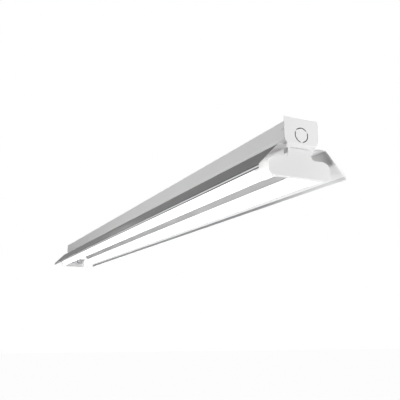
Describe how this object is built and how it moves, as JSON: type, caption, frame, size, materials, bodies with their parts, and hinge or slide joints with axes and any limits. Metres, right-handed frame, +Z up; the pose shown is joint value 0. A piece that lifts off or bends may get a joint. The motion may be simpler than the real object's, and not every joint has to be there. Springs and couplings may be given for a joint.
{
  "type": "reflector light fixture",
  "caption": "Long ceiling light: folded channel over a white sloped reflector, with straight tube lamps in sprung lampholders on lobed end plates.",
  "frame": {"origin": "middle of the channel's top face, half way between the two hanger holes", "axes": "+X along the lamps towards the end with the sprung lampholders, +Y across, +Z up towards the ceiling"},
  "size_m": [2.4384, 0.241, 0.1448],
  "materials": {
    "channel_enamel": "satin white baked enamel",
    "reflector_enamel": "gloss white baked enamel",
    "holder_plastic": "moulded white",
    "plunger_plastic": "moulded white",
    "lamp_glass": "phosphor-coated tube, lit",
    "cap_aluminium": "drawn, bright",
    "insulator_board": "laminated board",
    "pin_brass": "turned",
    "zinc_steel": "zinc plated",
    "spring_steel": "drawn wire",
    "ballast_enamel": "black enamel",
    "lead_blue": "insulation",
    "lead_red": "insulation",
    "lead_black": "insulation",
    "lead_white": "insulation",
    "lead_green": "insulation",
    "connector_plastic": "moulded",
    "grommet_rubber": "moulded"
  },
  "bodies": {
    "fixture": {"channel_housing": "channel_enamel", "end_plate_near": "channel_enamel", "end_plate_far": "channel_enamel", "reflector_near": "reflector_enamel", "reflector_middle": "reflector_enamel", "reflector_far": "reflector_enamel", "splice_plate_near": "reflector_enamel", "splice_plate_far": "reflector_enamel", "socket_plate_near": "reflector_enamel", "socket_plate_far": "reflector_enamel", "socket_plate_screws": "zinc_steel", "splice_rivets": "zinc_steel", "latch_washers": "zinc_steel", "ballast_screws": "zinc_steel", "end_plate_screws": "channel_enamel", "lampholder_screws": "reflector_enamel", "ground_screw": "lead_green", "ground_lead": "lead_green", "supply_lead_line": "lead_black", "supply_lead_neutral": "lead_white", "wire_connectors": "connector_plastic", "lead_grommets": "grommet_rubber", "wire_clips": "zinc_steel", "ballast_base": "ballast_enamel", "ballast_case": "ballast_enamel", "plunger_housing_left": "holder_plastic", "fixed_lampholder_left": "holder_plastic", "plunger_spring_left": "spring_steel", "lamp_lead_near_left": "lead_red", "lamp_lead_far_left": "lead_blue", "plunger_housing_right": "holder_plastic", "fixed_lampholder_right": "holder_plastic", "plunger_spring_right": "spring_steel", "lamp_lead_near_right": "lead_red", "lamp_lead_far_right": "lead_blue"},
    "lamp_left": {"lamp_tube_left": "lamp_glass", "lamp_caps_left": "cap_aluminium", "lamp_insulators_left": "insulator_board", "lamp_pins_left": "pin_brass"},
    "plunger_left": {"plunger_left": "plunger_plastic"},
    "lamp_right": {"lamp_tube_right": "lamp_glass", "lamp_caps_right": "cap_aluminium", "lamp_insulators_right": "insulator_board", "lamp_pins_right": "pin_brass"},
    "plunger_right": {"plunger_right": "plunger_plastic"},
    "latch_1": {"latch_knob_1": "zinc_steel", "latch_bar_1": "zinc_steel"},
    "latch_2": {"latch_knob_2": "zinc_steel", "latch_bar_2": "zinc_steel"},
    "latch_3": {"latch_knob_3": "zinc_steel", "latch_bar_3": "zinc_steel"},
    "latch_4": {"latch_knob_4": "zinc_steel", "latch_bar_4": "zinc_steel"}
  },
  "joints": [
    {"name": "lamp_left_slide", "type": "slide", "parent": "fixture", "child": "lamp_left", "axis": [1, 0, 0], "range_m": [0, 0.009]},
    {"name": "plunger_left_slide", "type": "slide", "parent": "fixture", "child": "plunger_left", "axis": [1, 0, 0], "range_m": [0, 0.009], "stiffness_N_per_m": 500, "springref_m": -0.006, "deforming": ["plunger_spring_left"]},
    {"name": "lamp_right_slide", "type": "slide", "parent": "fixture", "child": "lamp_right", "axis": [1, 0, 0], "range_m": [0, 0.009]},
    {"name": "plunger_right_slide", "type": "slide", "parent": "fixture", "child": "plunger_right", "axis": [1, 0, 0], "range_m": [0, 0.009], "stiffness_N_per_m": 500, "springref_m": -0.006, "deforming": ["plunger_spring_right"]},
    {"name": "latch_1_turn", "type": "hinge", "parent": "fixture", "child": "latch_1", "pos_m": [0.8382, 0, -0.0597], "axis": [0, 0, 1], "range_deg": [0, 90]},
    {"name": "latch_2_turn", "type": "hinge", "parent": "fixture", "child": "latch_2", "pos_m": [0.2286, 0, -0.0597], "axis": [0, 0, 1], "range_deg": [0, 90]},
    {"name": "latch_3_turn", "type": "hinge", "parent": "fixture", "child": "latch_3", "pos_m": [-0.2286, 0, -0.0597], "axis": [0, 0, 1], "range_deg": [0, 90]},
    {"name": "latch_4_turn", "type": "hinge", "parent": "fixture", "child": "latch_4", "pos_m": [-0.8382, 0, -0.0597], "axis": [0, 0, 1], "range_deg": [0, 90]}
  ],
  "couplings": [
    {"joint": "plunger_left_slide", "follows": "lamp_left_slide", "ratio": 1},
    {"joint": "plunger_right_slide", "follows": "lamp_right_slide", "ratio": 1}
  ]
}
